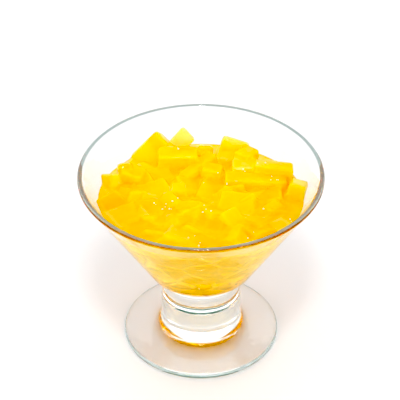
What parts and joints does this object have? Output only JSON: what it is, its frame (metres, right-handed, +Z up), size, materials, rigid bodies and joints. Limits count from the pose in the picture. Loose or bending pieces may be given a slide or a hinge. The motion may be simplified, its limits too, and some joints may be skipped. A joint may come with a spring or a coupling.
{
  "type": "coconut jelly in a footed dessert glass",
  "caption": "Cut yellow jelly chunks heaped in a clear cone-shaped dessert glass with a thick short stem and a round foot.",
  "frame": {"origin": "centre of the foot's flat underside, on the surface that the glass stands on", "axes": "+Z up along the glass's axis; -Y towards the viewer of the picture, +X to the viewer's right"},
  "size_m": [0.12, 0.12, 0.0999],
  "materials": {
    "glass": "clear, polished",
    "jelly": "wet, shiny and slightly see-through"
  },
  "bodies": {
    "root": {"glass": "glass", "jelly": "jelly"}
  },
  "joints": []
}
